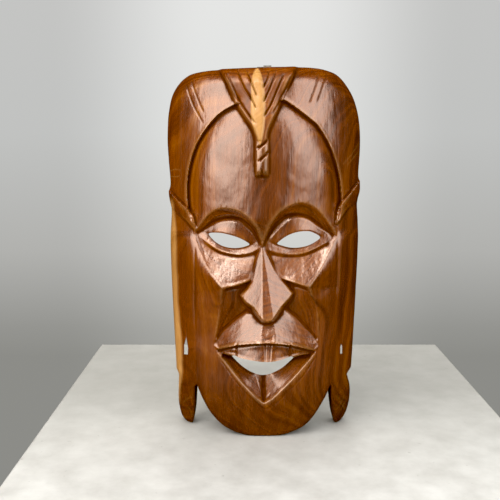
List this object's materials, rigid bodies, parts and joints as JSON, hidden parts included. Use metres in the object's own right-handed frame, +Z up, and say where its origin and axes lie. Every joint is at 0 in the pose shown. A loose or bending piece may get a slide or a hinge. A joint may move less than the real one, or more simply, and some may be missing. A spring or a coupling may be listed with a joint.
{
  "type": "carved wooden wall mask",
  "caption": "Carved hardwood face mask, hollow at the back, with a hinged metal ring hanger let into the rim; hangs on a nail or stands on its chin and ear pendants.",
  "frame": {"origin": "centre of the bounding box on the surface that the chin and the ear pendants stand on", "axes": "+Z up along the mask, the face looks along -Y, the back rim lies in a plane of constant Y, +X is to the right of someone looking at the face"},
  "size_m": [0.172, 0.073, 0.3278],
  "materials": {
    "carved_wood": "stained brown hardwood with pale sapwood, waxed to a soft gloss",
    "hanger_steel": "dull plated steel, slightly tarnished",
    "screw_steel": "plated steel"
  },
  "bodies": {
    "mask": {"mask_carving": "carved_wood", "hanger_strap": "hanger_steel", "hanger_screw_upper": "screw_steel", "hanger_screw_lower": "screw_steel"},
    "ring": {"hanger_ring": "hanger_steel"}
  },
  "joints": [
    {"name": "ring_swing", "type": "hinge", "parent": "mask", "child": "ring", "pos_m": [0.003, 0.032, 0.3256], "axis": [1, 0, 0], "range_deg": [0, 255]}
  ]
}
